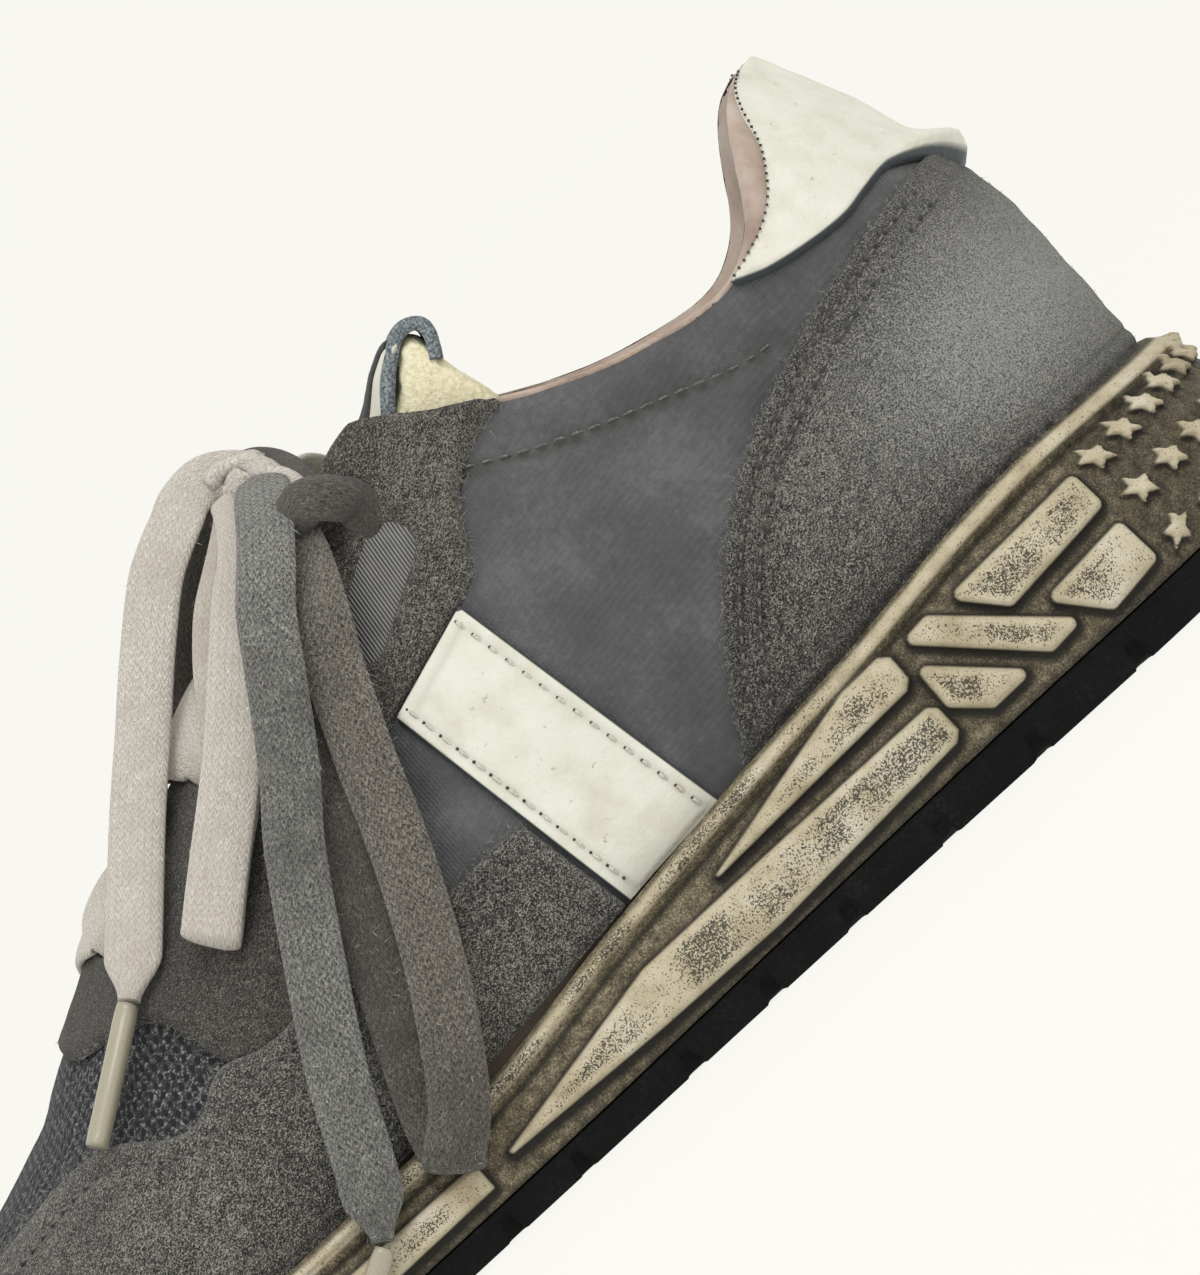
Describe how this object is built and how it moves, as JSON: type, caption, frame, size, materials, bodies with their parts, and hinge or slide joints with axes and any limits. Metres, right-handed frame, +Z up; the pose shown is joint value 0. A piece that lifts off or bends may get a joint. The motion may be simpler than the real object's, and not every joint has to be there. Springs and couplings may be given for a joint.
{
  "type": "worn-out running shoe",
  "caption": "Worn low lace-up running shoe for the left foot: grey suede and nylon upper, stained cream midsole with raised bars, notched black outsole, loose flat laces.",
  "frame": {"origin": "on the floor under the middle of the sole's length and width", "axes": "+X towards the toe, +Y towards the outer side of the left foot, +Z up"},
  "size_m": [0.2944, 0.12, 0.1125],
  "materials": {
    "black_rubber": "scuffed solid rubber",
    "eva_foam": "yellowed foam with dark stains",
    "lining": "soft worn lining",
    "nylon": "woven nylon and mesh",
    "tongue_foam": "cloth over foam",
    "suede": "rubbed suede",
    "white_leather": "coated leather, creased",
    "webbing": "ribbed webbing",
    "cream_lace": "flat braided cotton",
    "grey_lace": "flat braided cotton, dirty",
    "aglet": "cloudy clear plastic"
  },
  "bodies": {
    "root": {"outsole": "black_rubber", "midsole": "eva_foam", "insole": "lining", "upper": "nylon", "tongue": "tongue_foam", "mudguard": "suede", "heel_counter": "suede", "eyestay": "suede", "saddle_outer": "white_leather", "saddle_inner": "white_leather", "heel_tab": "white_leather", "webbing_outer": "webbing", "webbing_inner": "webbing", "lace_bars": "cream_lace", "lace_knot": "cream_lace", "lace_loop_cream": "cream_lace", "lace_end_cream": "cream_lace", "lace_loop_grey": "grey_lace", "lace_end_grey": "grey_lace", "aglet_cream": "aglet", "aglet_grey": "aglet"}
  },
  "joints": []
}
